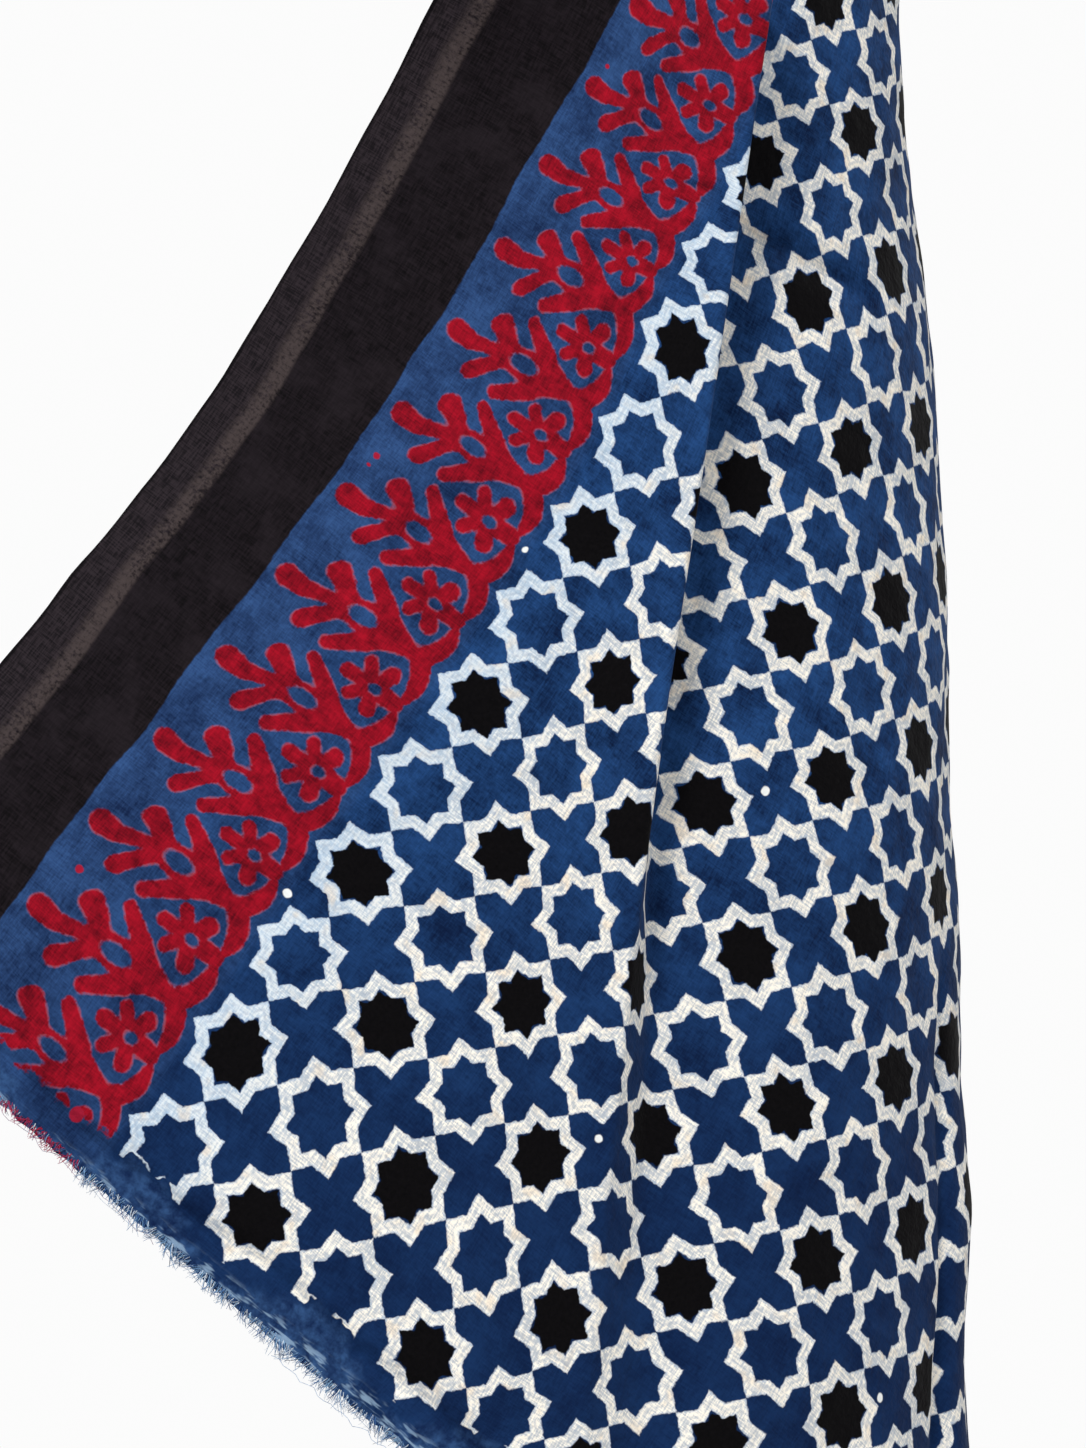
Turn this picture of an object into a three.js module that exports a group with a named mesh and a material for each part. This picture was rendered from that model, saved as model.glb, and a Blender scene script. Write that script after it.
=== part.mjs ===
// A length of resist-printed cotton hanging in three folds: a wide flap that crosses in front,
// a tucked fold behind its crest, and a rounded drape that turns back on the right.
// Millimetres, +Z up. The viewer stands on the -Y side.
// The origin is the top of the flap's crest, where the cloth is held.

import * as THREE from 'three';

// The cloth
const THICKNESS = 1;
const REPEAT = 40; // one star of the print
const GRAIN_DEG = 35.6; // lean of the warp from upright
const SELVEDGE_REPEATS = -3.88; // from the first row of stars out to the selvedge
const RAW_EDGE_REPEATS = 7.85; // from the first star down to the raw edge
const FIRST_STAR_DROP = 221.3; // below the top edge
const SETTLE = 0.972; // height that a leaning column keeps
const SKEW = 0.39; // extra drop for each repeat across and each repeat down

// Fraying of the raw edge, as a comb of short teeth
const TOOTH = 6;
const TOOTH_GAP = 1;

// Width over which each fold bends, measured along the cloth
const RIM_BEND = 60;
const FLAP_BEND = 97;
const CREST_BEND = 10;
const TUCK_BEND = 15;
const PINCH_IN = 8;
const PINCH_OUT = 16;
const PINCH_WIDTH = 14;
const BACK_BEND = 70;
const BACK_TURN = 75;

// Level sections, from the top edge down. Lengths in millimetres, headings in degrees: a heading
// of 0 runs to the viewer's right, and a positive one runs away from the viewer.
//   drop      depth of the section below the top edge
//   crestArc  where the crest lies, measured along the cloth from the first star's column
//   crestX    where the crest lies, left or right
//   rim, rimAt              heading of the flap along its dark band, and where it sets in
//   outer                   heading of the flap inside that
//   flap, flapAt            heading beside the crest, and where it sets in
//   tuck, tuckAt            heading behind the crest, and where the cloth turns out of the tuck
//   drape, end              headings where the drape begins and ends
//   roundArc, roundWidth    middle and width of the drape's rounding, along the cloth
//   pinch, pinchAt          sharp crease on the drape's right flank
//   backAt                  where the cloth turns in behind
const SECTIONS = [
  { drop: 0, crestArc: 119, crestX: 0, rim: 0, rimAt: -72, outer: -54, flap: -32, flapAt: 3,
    tuck: 138, tuckAt: 32, drape: 27, end: 95, roundArc: 222, roundWidth: 145,
    pinch: 0, pinchAt: 185, backAt: 216 },
  { drop: 178, crestArc: 54, crestX: -26, rim: -18, rimAt: -141, outer: -25, flap: -32, flapAt: -45,
    tuck: 138, tuckAt: 29, drape: 12, end: 94, roundArc: 180, roundWidth: 192,
    pinch: 0, pinchAt: 185, backAt: 262 },
  { drop: 357, crestArc: 21, crestX: -53, rim: 2, rimAt: -174, outer: -3, flap: -33, flapAt: -82,
    tuck: 86, tuckAt: 27, drape: 1, end: 97, roundArc: 148, roundWidth: 213,
    pinch: 0, pinchAt: 178, backAt: 266 },
  { drop: 580, crestArc: -4, crestX: -76, rim: 0, rimAt: -230, outer: -1, flap: -24, flapAt: -70,
    tuck: 34, tuckAt: 28, drape: 0, end: 95, roundArc: 120, roundWidth: 220,
    pinch: 40, pinchAt: 183, backAt: 278 },
  { drop: 850, crestArc: -14, crestX: -86, rim: 0, rimAt: -230, outer: 0, flap: -20, flapAt: -70,
    tuck: 26, tuckAt: 28, drape: 0, end: 95, roundArc: 108, roundWidth: 220,
    pinch: 40, pinchAt: 183, backAt: 270 },
];

// Columns of the mesh, counted along the cloth from the crest. They stand closer in the bends.
const BACK_EDGE = 310;
const CORNER_MARGIN = 3;
const COLUMN_BANDS = [
  { to: -90, step: 14 },
  { to: -7, step: 8 },
  { to: 7, step: 2 },
  { to: 19, step: 4 },
  { to: 39, step: 2.5 },
  { to: 175, step: 11 },
  { to: 207, step: 4 },
  { to: BACK_EDGE, step: 12 },
];
const ROWS = 27;
const WALK_STEP = 1;
const NORMAL_STEP = 0.25;

const degrees = THREE.MathUtils.degToRad;
const grainCos = Math.cos(degrees(GRAIN_DEG));
const grainSin = Math.sin(degrees(GRAIN_DEG));

// A value of the section table at any drop, as a smooth curve through the rows.
function valueAt(column, drop) {
  const last = SECTIONS.length - 1;
  let row = 0;
  while (row < last - 1 && drop > SECTIONS[row + 1].drop) row += 1;
  const slope = (k) => {
    const low = SECTIONS[Math.max(k - 1, 0)];
    const high = SECTIONS[Math.min(k + 1, last)];
    return (high[column] - low[column]) / (high.drop - low.drop);
  };
  const above = SECTIONS[row];
  const below = SECTIONS[row + 1];
  const span = below.drop - above.drop;
  const t = THREE.MathUtils.clamp((drop - above.drop) / span, 0, 1);
  return (2 * t ** 3 - 3 * t ** 2 + 1) * above[column]
    + (t ** 3 - 2 * t ** 2 + t) * span * slope(row)
    + (3 * t ** 2 - 2 * t ** 3) * below[column]
    + (t ** 3 - t ** 2) * span * slope(row + 1);
}

// 0 before a bend and 1 after it, easing through a bend of this width.
function bend(offset, centre, width) {
  return THREE.MathUtils.smoothstep(offset, centre - width / 2, centre + width / 2);
}

// The headings of one level section.
function readSection(drop) {
  const section = { drop };
  for (const column of Object.keys(SECTIONS[0])) {
    if (column !== 'drop') section[column] = valueAt(column, drop);
  }
  return section;
}

function headingAt(section, offset) {
  const rounded = (offset + section.crestArc - section.roundArc) / section.roundWidth + 0.5;
  const pinchOutAt = section.pinchAt + PINCH_WIDTH;
  const heading = section.rim
    + (section.outer - section.rim) * bend(offset, section.rimAt, RIM_BEND)
    + (section.flap - section.outer) * bend(offset, section.flapAt, FLAP_BEND)
    + (section.tuck - section.flap) * bend(offset, 0, CREST_BEND)
    + (section.drape - section.tuck) * bend(offset, section.tuckAt, TUCK_BEND)
    + (section.end - section.drape) * THREE.MathUtils.clamp(rounded, 0, 1)
    - section.pinch * bend(offset, section.pinchAt, PINCH_IN)
    + section.pinch * bend(offset, pinchOutAt, PINCH_OUT)
    + BACK_TURN * bend(offset, section.backAt, BACK_BEND);
  return degrees(heading);
}

// A point of the cloth's middle surface, found by walking along its level section from the crest.
function clothPoint(offset, drop) {
  const section = readSection(drop);
  const steps = Math.max(1, Math.ceil(Math.abs(offset) / WALK_STEP));
  const step = offset / steps;
  let x = section.crestX;
  let y = 0;
  for (let k = 0; k < steps; k += 1) {
    const heading = headingAt(section, (k + 0.5) * step);
    x += Math.cos(heading) * step;
    y += Math.sin(heading) * step;
  }
  return new THREE.Vector3(x, y, -drop);
}

// The unit normal that points to the cloth's printed face.
function clothNormal(offset, drop) {
  const along = clothPoint(offset + NORMAL_STEP, drop).sub(clothPoint(offset - NORMAL_STEP, drop));
  const down = clothPoint(offset, drop + NORMAL_STEP).sub(clothPoint(offset, drop - NORMAL_STEP));
  return down.cross(along).normalize();
}

// A place on the print, counted in repeats across the cloth and down it.
function placeOfRepeat(across, downward) {
  return {
    arc: REPEAT * (grainCos * across - grainSin * downward),
    drop: FIRST_STAR_DROP + SETTLE * REPEAT * (grainSin * across + grainCos * downward)
      + SKEW * across * downward,
  };
}

// How far from the crest the selvedge or the raw edge crosses a level.
function selvedgeOffset(drop) {
  const start = placeOfRepeat(SELVEDGE_REPEATS, 0);
  const perRepeat = SETTLE * REPEAT * grainCos + SKEW * SELVEDGE_REPEATS;
  const place = placeOfRepeat(SELVEDGE_REPEATS, (drop - start.drop) / perRepeat);
  return place.arc - valueAt('crestArc', drop);
}

function rawEdgeOffset(drop) {
  const start = placeOfRepeat(0, RAW_EDGE_REPEATS);
  const perRepeat = SETTLE * REPEAT * grainSin + SKEW * RAW_EDGE_REPEATS;
  const place = placeOfRepeat((drop - start.drop) / perRepeat, RAW_EDGE_REPEATS);
  return place.arc - valueAt('crestArc', drop);
}

// The drop between two limits at which an edge reaches an offset.
function dropWhere(edgeOffset, offset, nearDrop, farDrop) {
  const rising = edgeOffset(farDrop) > edgeOffset(nearDrop);
  let low = nearDrop;
  let high = farDrop;
  for (let k = 0; k < 40; k += 1) {
    const middle = (low + high) / 2;
    const passed = rising ? edgeOffset(middle) > offset : edgeOffset(middle) < offset;
    if (passed) high = middle;
    else low = middle;
  }
  return (low + high) / 2;
}

// The offsets of the columns, from the hanging corner to the edge behind.
function columnOffsets(corner) {
  const offsets = [];
  let from = selvedgeOffset(corner.drop) + CORNER_MARGIN;
  for (const band of COLUMN_BANDS) {
    const count = Math.max(1, Math.round((band.to - from) / band.step));
    for (let k = 0; k < count; k += 1) offsets.push(from + ((band.to - from) * k) / count);
    from = band.to;
  }
  offsets.push(BACK_EDGE);
  return offsets;
}

// A closed sheet: a printed face and a reverse, joined all round the edge.
function makeCloth() {
  const corner = placeOfRepeat(SELVEDGE_REPEATS, RAW_EDGE_REPEATS);
  const foot = SECTIONS[SECTIONS.length - 1].drop;
  const offsets = columnOffsets(corner);
  const perSide = offsets.length * (ROWS + 1);
  const positions = new Float32Array(perSide * 2 * 3);

  offsets.forEach((offset, column) => {
    const topDrop = offset < selvedgeOffset(0) ? dropWhere(selvedgeOffset, offset, 0, corner.drop) : 0;
    const rawDrop = dropWhere(rawEdgeOffset, offset, corner.drop, foot);
    const endDrop = rawDrop + (column % 2 ? TOOTH : TOOTH_GAP);
    for (let row = 0; row <= ROWS; row += 1) {
      const bodyDrop = THREE.MathUtils.lerp(topDrop, rawDrop, row / (ROWS - 1));
      const drop = row < ROWS ? bodyDrop : endDrop;
      const middle = clothPoint(offset, drop);
      const half = clothNormal(offset, drop).multiplyScalar(THICKNESS / 2);
      const index = column * (ROWS + 1) + row;
      middle.clone().add(half).toArray(positions, index * 3);
      middle.clone().sub(half).toArray(positions, (perSide + index) * 3);
    }
  });

  const indices = [];
  const quad = (a, b, c, d) => indices.push(a, b, c, a, c, d);
  const printed = (column, row) => column * (ROWS + 1) + row;
  const reverse = (column, row) => perSide + printed(column, row);
  const lastColumn = offsets.length - 1;
  for (let column = 0; column < lastColumn; column += 1) {
    const next = column + 1;
    for (let row = 0; row < ROWS; row += 1) {
      quad(printed(column, row), printed(column, row + 1), printed(next, row + 1), printed(next, row));
      quad(reverse(column, row), reverse(next, row), reverse(next, row + 1), reverse(column, row + 1));
    }
    quad(printed(column, 0), printed(next, 0), reverse(next, 0), reverse(column, 0));
    quad(printed(column, ROWS), reverse(column, ROWS), reverse(next, ROWS), printed(next, ROWS));
  }
  for (let row = 0; row < ROWS; row += 1) {
    quad(printed(0, row), reverse(0, row), reverse(0, row + 1), printed(0, row + 1));
    quad(printed(lastColumn, row), printed(lastColumn, row + 1),
      reverse(lastColumn, row + 1), reverse(lastColumn, row));
  }

  const geometry = new THREE.BufferGeometry();
  geometry.setAttribute('position', new THREE.BufferAttribute(positions, 3));
  geometry.setIndex(indices);
  geometry.computeVertexNormals();
  return geometry;
}

const indigoCotton = new THREE.MeshStandardMaterial({ color: 0x27497f, roughness: 0.85, metalness: 0 });

const cloth = new THREE.Mesh(makeCloth(), indigoCotton);
cloth.name = 'cloth';

const fabric = new THREE.Group();
fabric.add(cloth);

export default fabric;
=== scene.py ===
"""One length of resist-printed cotton, hanging in three folds, in the frame of the CAD model."""
import math
from types import SimpleNamespace

import bpy
import numpy as np
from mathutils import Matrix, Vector


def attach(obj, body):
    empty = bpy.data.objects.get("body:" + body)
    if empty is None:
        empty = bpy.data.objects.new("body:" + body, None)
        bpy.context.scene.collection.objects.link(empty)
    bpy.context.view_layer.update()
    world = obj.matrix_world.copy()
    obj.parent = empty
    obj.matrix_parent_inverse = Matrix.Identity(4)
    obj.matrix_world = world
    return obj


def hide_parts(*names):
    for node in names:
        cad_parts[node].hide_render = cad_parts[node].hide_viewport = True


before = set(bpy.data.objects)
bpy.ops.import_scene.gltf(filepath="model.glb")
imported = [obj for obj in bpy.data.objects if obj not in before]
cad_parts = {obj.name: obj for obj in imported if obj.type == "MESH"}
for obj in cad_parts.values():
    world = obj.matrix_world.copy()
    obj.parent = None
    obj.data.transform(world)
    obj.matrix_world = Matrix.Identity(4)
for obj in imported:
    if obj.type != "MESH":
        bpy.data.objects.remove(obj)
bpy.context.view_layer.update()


def add_to_scene(name, data):
    thing = bpy.data.objects.new(name, data)
    bpy.context.scene.collection.objects.link(thing)
    return thing


# The camera of the photo: level, five metres in front of the crest
MM = 0.001
REPEAT = 40.0  # one star of the print, in millimetres
PHOTO_HEIGHT = 1448
REPEAT_IN_PHOTO = 107.6
EYE_DISTANCE = 5.0
VIEW_CENTRE = (-0.0877, -0.2915)  # left or right, and height
SENSOR = 36.0

view_height = PHOTO_HEIGHT / REPEAT_IN_PHOTO * REPEAT * MM
camera_data = bpy.data.cameras.new("photo_camera")
camera_data.sensor_width = SENSOR
camera_data.lens = SENSOR * EYE_DISTANCE / view_height
camera_data.clip_end = 60
camera = add_to_scene("photo_camera", camera_data)
camera.location = (VIEW_CENTRE[0], -EYE_DISTANCE, VIEW_CENTRE[1])
camera.rotation_euler = (math.radians(90), 0, 0)
bpy.context.scene.camera = camera

# The cloth's measures in millimetres. All but the thickness are as in the CAD model.
THICKNESS = 0.6
GRAIN = math.radians(35.6)
SELVEDGE = -3.88  # in repeats across the print
RAW_EDGE = 7.85  # in repeats down the print
FIRST_STAR_DROP = 221.3
SETTLE = 0.972
SKEW = 0.39
RIM_BEND = 60
FLAP_BEND = 97
CREST_BEND = 10
TUCK_BEND = 15
PINCH_IN = 8
PINCH_OUT = 16
PINCH_WIDTH = 14
BACK_BEND = 70
BACK_TURN = 75
BACK_EDGE = 310
FOOT = 850

# Level sections from the top edge down: lengths in millimetres, headings in degrees
SECTIONS = [
    dict(drop=0, crest_arc=119, crest_x=0, rim=0, rim_at=-72, outer=-54, flap=-32, flap_at=3,
         tuck=138, tuck_at=32, drape=27, end=95, round_arc=222, round_width=145,
         pinch=0, pinch_at=185, back_at=216),
    dict(drop=178, crest_arc=54, crest_x=-26, rim=-18, rim_at=-141, outer=-25, flap=-32, flap_at=-45,
         tuck=138, tuck_at=29, drape=12, end=94, round_arc=180, round_width=192,
         pinch=0, pinch_at=185, back_at=262),
    dict(drop=357, crest_arc=21, crest_x=-53, rim=2, rim_at=-174, outer=-3, flap=-33, flap_at=-82,
         tuck=86, tuck_at=27, drape=1, end=97, round_arc=148, round_width=213,
         pinch=0, pinch_at=178, back_at=266),
    dict(drop=580, crest_arc=-4, crest_x=-76, rim=0, rim_at=-230, outer=-1, flap=-24, flap_at=-70,
         tuck=34, tuck_at=28, drape=0, end=95, round_arc=120, round_width=220,
         pinch=40, pinch_at=183, back_at=278),
    dict(drop=850, crest_arc=-14, crest_x=-86, rim=0, rim_at=-230, outer=0, flap=-20, flap_at=-70,
         tuck=26, tuck_at=28, drape=0, end=95, round_arc=108, round_width=220,
         pinch=40, pinch_at=183, back_at=270),
]


def ease(t):
    t = np.clip(t, 0, 1)
    return t * t * (3 - 2 * t)


def bend(offset, centre, width):
    """0 before a bend and 1 after it."""
    return ease((offset - centre) / width + 0.5)


def value_at(column, drop):
    """A value of the section table at any drop, as a smooth curve through the rows."""
    drops = np.array([s["drop"] for s in SECTIONS], float)
    values = np.array([s[column] for s in SECTIONS], float)
    slopes = np.empty(len(values))
    slopes[1:-1] = (values[2:] - values[:-2]) / (drops[2:] - drops[:-2])
    slopes[0] = (values[1] - values[0]) / (drops[1] - drops[0])
    slopes[-1] = (values[-1] - values[-2]) / (drops[-1] - drops[-2])
    drop = np.asarray(drop, float)
    row = np.clip(np.searchsorted(drops, drop) - 1, 0, len(drops) - 2)
    span = drops[row + 1] - drops[row]
    t = np.clip((drop - drops[row]) / span, 0, 1)
    return ((2 * t**3 - 3 * t**2 + 1) * values[row]
            + (t**3 - 2 * t**2 + t) * span * slopes[row]
            + (3 * t**2 - 2 * t**3) * values[row + 1]
            + (t**3 - t**2) * span * slopes[row + 1])


# The folds, walked once along many level sections
OFFSET_STEP = 0.5
DROP_STEP = 2.5
WALK_OFFSETS = np.arange(-350, 321, OFFSET_STEP)
WALK_DROPS = np.arange(-12, 880, DROP_STEP)


def walk_sections():
    """Left-right and depth of every walked point, one row for each drop."""
    section = {name: value_at(name, WALK_DROPS)[:, None] for name in SECTIONS[0] if name != "drop"}
    offset = WALK_OFFSETS[None, :]
    rounded = (offset + section["crest_arc"] - section["round_arc"]) / section["round_width"] + 0.5
    heading = (section["rim"]
               + (section["outer"] - section["rim"]) * bend(offset, section["rim_at"], RIM_BEND)
               + (section["flap"] - section["outer"]) * bend(offset, section["flap_at"], FLAP_BEND)
               + (section["tuck"] - section["flap"]) * bend(offset, 0, CREST_BEND)
               + (section["drape"] - section["tuck"]) * bend(offset, section["tuck_at"], TUCK_BEND)
               + (section["end"] - section["drape"]) * np.clip(rounded, 0, 1)
               - section["pinch"] * bend(offset, section["pinch_at"], PINCH_IN)
               + section["pinch"] * bend(offset, section["pinch_at"] + PINCH_WIDTH, PINCH_OUT)
               + BACK_TURN * bend(offset, section["back_at"], BACK_BEND))
    heading = np.radians(heading)
    walked = []
    for part in (np.cos(heading), np.sin(heading)):
        path = np.cumsum((part[:, 1:] + part[:, :-1]) / 2 * OFFSET_STEP, axis=1)
        path = np.concatenate([np.zeros((len(path), 1)), path], axis=1)
        crest = np.searchsorted(WALK_OFFSETS, 0)
        walked.append(path - path[:, crest:crest + 1])
    return walked[0] + section["crest_x"], walked[1]


walk_x, walk_y = walk_sections()


def folds(offset, drop):
    """The plain folded surface: a point for each offset from the crest and each drop."""
    column = np.clip((offset - WALK_OFFSETS[0]) / OFFSET_STEP, 0, len(WALK_OFFSETS) - 1.001)
    row = np.clip((drop - WALK_DROPS[0]) / DROP_STEP, 0, len(WALK_DROPS) - 1.001)
    c = column.astype(int)
    r = row.astype(int)
    s = column - c
    t = row - r
    point = []
    for table in (walk_x, walk_y):
        upper = table[r, c] * (1 - s) + table[r, c + 1] * s
        lower = table[r + 1, c] * (1 - s) + table[r + 1, c + 1] * s
        point.append(upper * (1 - t) + lower * t)
    return np.stack([point[0], point[1], -drop], axis=-1)


def place_on_print(offset, drop):
    """Repeats across and down the print."""
    along = (offset + value_at("crest_arc", drop)) / REPEAT
    height = drop - FIRST_STAR_DROP
    across = np.zeros_like(along)
    down = np.zeros_like(along)
    for _ in range(5):
        settled = (height - SKEW * across * down) / (SETTLE * REPEAT)
        across = along * math.cos(GRAIN) + settled * math.sin(GRAIN)
        down = settled * math.cos(GRAIN) - along * math.sin(GRAIN)
    return across, down


def place_in_folds(across, down):
    """Offset from the crest and drop of a place on the print."""
    along = REPEAT * (math.cos(GRAIN) * across - math.sin(GRAIN) * down)
    drop = (FIRST_STAR_DROP + SKEW * across * down
            + SETTLE * REPEAT * (math.sin(GRAIN) * across + math.cos(GRAIN) * down))
    return along - value_at("crest_arc", drop), drop


# Where the hand-stamped print and the settled cloth stray from the even lattice, in repeats
DRIFTS = [
    dict(across=-0.1, down=-2.4, reach=1.2, move_across=-0.13, move_down=-0.13),
    dict(across=2.2, down=-5.1, reach=1.4, move_across=-0.15, move_down=-0.12),
    dict(across=3.2, down=-3.2, reach=0.9, move_across=-0.07, move_down=-0.05),
    dict(across=-1.4, down=-4.5, reach=1.1, move_across=0.0, move_down=0.09),
]
FOOT_DRIFT = dict(start=5.2, end=7.2, first_across=-3.0, first_fade=2.0, last_across=5.0,
                  last_fade=1.5, move_across=0.13, move_down=0.16)


def drifted(across, down):
    """The place on the print that shows at an even place of the cloth."""
    new_across = across.copy()
    new_down = down.copy()
    for drift in DRIFTS:
        away = (across - drift["across"])**2 + (down - drift["down"])**2
        share = np.exp(-away / drift["reach"]**2)
        new_across -= drift["move_across"] * share
        new_down -= drift["move_down"] * share
    foot = FOOT_DRIFT
    share = ease((down - foot["start"]) / (foot["end"] - foot["start"]))
    share = share * ease((foot["last_across"] - across) / foot["last_fade"])
    share = share * ease((across - foot["first_across"]) / foot["first_fade"])
    return new_across - foot["move_across"] * share, new_down - foot["move_down"] * share


def waves(x, y, seed, count, shortest, longest):
    """A smooth random relief, mostly between -1 and 1, from waves of lengths between two limits."""
    rng = np.random.default_rng(seed)
    total = np.zeros_like(x)
    for _ in range(count):
        turn = rng.uniform(0, 2 * math.pi)
        length = rng.uniform(shortest, longest)
        phase = rng.uniform(0, 2 * math.pi)
        total += np.sin((x * math.cos(turn) + y * math.sin(turn)) * 2 * math.pi / length + phase)
    return total / math.sqrt(count)


# Small relief on the plain folds, in millimetres: soft waves and crumples all over, ripples along
# the selvedge, a curl and a shallow valley along the raw edge, and a crease at the lower right
SOFT_WAVES = dict(seed=3, count=8, shortest=70, longest=170)
SOFT_HEIGHT = 0.9
CRUMPLES = dict(seed=4, count=14, shortest=16, longest=44)
CRUMPLE_HEIGHT = 0.34
RIPPLES = dict(seed=5, count=5, shortest=45, longest=120)
RIPPLE_HEIGHT = 1.1
RIPPLE_REACH = 22
CURL_WAVES = dict(seed=6, count=6, shortest=25, longest=90)
CURL_HEIGHT = 3.0
CURL_WIDTH = 9
CURL_UNEVENNESS = 0.6
VALLEY_WAVES = dict(seed=7, count=5, shortest=40, longest=110)
VALLEY_DEPTH = 3.2
VALLEY_PLACE = 13
VALLEY_WANDER = 2
VALLEY_HALF_WIDTH = 4.2
CREST_QUIET = 14
CREASE_DEPTH = 2.6
CREASE_HALF_WIDTH = 4.5
CREASE_TOP = 340
CREASE_FADE = 90


def hollow(away, half_width):
    """1 on a line and 0 well away from it."""
    return np.exp(-(away / half_width) ** 2)


def relief(offset, drop):
    """How far the cloth stands towards the viewer's side of its plain folds."""
    across, down = place_on_print(offset, drop)
    x = across * REPEAT
    y = down * REPEAT
    soft = SOFT_HEIGHT * waves(x, y, **SOFT_WAVES) + CRUMPLE_HEIGHT * waves(x, y, **CRUMPLES)
    from_selvedge = (across - SELVEDGE) * REPEAT
    rippled = RIPPLE_HEIGHT * np.exp(-from_selvedge / RIPPLE_REACH) * waves(y, y * 0.3, **RIPPLES)
    from_raw = (RAW_EDGE - down) * REPEAT
    lip = 1 + CURL_UNEVENNESS * waves(x, x * 0.2, **CURL_WAVES)
    curl = CURL_HEIGHT * ease(1 - from_raw / CURL_WIDTH) * lip
    wander = VALLEY_WANDER * waves(x, x * 0.1, **VALLEY_WAVES)
    valley = -VALLEY_DEPTH * hollow(from_raw - VALLEY_PLACE - wander, VALLEY_HALF_WIDTH)
    quiet = 1 - hollow(offset, CREST_QUIET)
    lower_part = ease((drop - CREASE_TOP) / CREASE_FADE)
    from_crease = offset - value_at("pinch_at", drop)
    crease = -CREASE_DEPTH * hollow(from_crease, CREASE_HALF_WIDTH) * lower_part
    return soft * quiet + rippled + curl + valley + crease


# The soft slanting hollow at the top of the drape, in millimetres: where it starts, how far it
# runs, how its ends fade, and on which part of the drape it lies
TROUGH_START = dict(x=-14, drop=100)
TROUGH_RUN = dict(x=52.0, drop=34.0)
TROUGH_DEPTH = 12.0
TROUGH_SHOALING = 0.09
TROUGH_HALF_WIDTH = 5
TROUGH_HEAD = dict(before=16, fade=26)
TROUGH_TAIL = dict(beyond=14, fade=30)
TROUGH_FRONT = dict(first=28, first_fade=14, last=170, last_fade=30)


def drape_trough(offset, drop):
    """How far back the slanting hollow lies."""
    run = TROUGH_RUN
    length = math.hypot(run["x"], run["drop"])
    x = folds(offset, drop)[..., 0] - TROUGH_START["x"]
    y = drop - TROUGH_START["drop"]
    along = (x * run["x"] + y * run["drop"]) / length
    across = (y * run["x"] - x * run["drop"]) / length
    ends = (ease((along + TROUGH_HEAD["before"]) / TROUGH_HEAD["fade"])
            * ease((length + TROUGH_TAIL["beyond"] - along) / TROUGH_TAIL["fade"]))
    front = TROUGH_FRONT
    on_front = (ease((offset - front["first"]) / front["first_fade"])
                * ease((front["last"] - offset) / front["last_fade"]))
    depth = TROUGH_DEPTH - TROUGH_SHOALING * along
    return depth * hollow(across, TROUGH_HALF_WIDTH) * ends * on_front


def surface(offset, drop):
    """A point of the cloth's middle surface and its normal on the printed side."""
    step = 0.6
    sideways = folds(offset + step, drop) - folds(offset - step, drop)
    downwards = folds(offset, drop + step) - folds(offset, drop - step)
    normal = np.cross(downwards, sideways)
    normal /= np.linalg.norm(normal, axis=-1, keepdims=True)
    point = folds(offset, drop) + normal * relief(offset, drop)[..., None]
    point[..., 1] += drape_trough(offset, drop)
    return point, normal


def bisect(edge, offset, near, far):
    """The drop between two limits at which an edge reaches each offset."""
    low = np.full_like(offset, near)
    high = np.full_like(offset, far)
    rising = edge(np.array([far]))[0] > edge(np.array([near]))[0]
    for _ in range(30):
        middle = (low + high) / 2
        passed = (edge(middle) > offset) == rising
        high = np.where(passed, middle, high)
        low = np.where(passed, low, middle)
    return (low + high) / 2


def selvedge_offset(drop):
    per_repeat = SETTLE * REPEAT * math.cos(GRAIN) + SKEW * SELVEDGE
    start = FIRST_STAR_DROP + SETTLE * REPEAT * math.sin(GRAIN) * SELVEDGE
    return place_in_folds(SELVEDGE, (drop - start) / per_repeat)[0]


def raw_edge_offset(drop):
    per_repeat = SETTLE * REPEAT * math.sin(GRAIN) + SKEW * RAW_EDGE
    start = FIRST_STAR_DROP + SETTLE * REPEAT * math.cos(GRAIN) * RAW_EDGE
    return place_in_folds((drop - start) / per_repeat, RAW_EDGE)[0]


# How far the raw edge has pulled down in the middle of the flap, and how unevenly it and the
# selvedge are cut, in millimetres
EDGE_SAG = 5.0
RAW_WAVES = dict(seed=11, count=8, shortest=4, longest=15)
RAW_WAVE_HEIGHT = 0.5
SELVEDGE_WAVES = dict(seed=12, count=6, shortest=16, longest=60)
SELVEDGE_WAVE_HEIGHT = 0.8


def sag(offset):
    return EDGE_SAG * bend(offset, -170, 160) * bend(offset, 120, -200)


# Columns of the mesh, counted along the cloth from the crest, closer in the bends
CORNER_MARGIN = 1.5
ROWS = 188
SHARP_FROM = math.radians(60)
COLUMN_BANDS = [
    dict(to=-60, step=3.1),
    dict(to=-8, step=2.6),
    dict(to=8, step=1.0),
    dict(to=20, step=1.7),
    dict(to=40, step=1.3),
    dict(to=172, step=2.9),
    dict(to=208, step=1.8),
    dict(to=BACK_EDGE, step=4.4),
]


def column_offsets(corner_drop):
    offsets = []
    start = selvedge_offset(np.array([corner_drop]))[0] + CORNER_MARGIN
    for band in COLUMN_BANDS:
        count = max(1, round((band["to"] - start) / band["step"]))
        offsets.extend(start + (band["to"] - start) * k / count for k in range(count))
        start = band["to"]
    return np.array(offsets + [BACK_EDGE], float)


# Flat places of both faces on one bake map, in repeats to the whole map
PRINTED_SPAN = 24.2
REVERSE_SPAN = 28.0
MAP_MARGIN = 0.004


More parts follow.
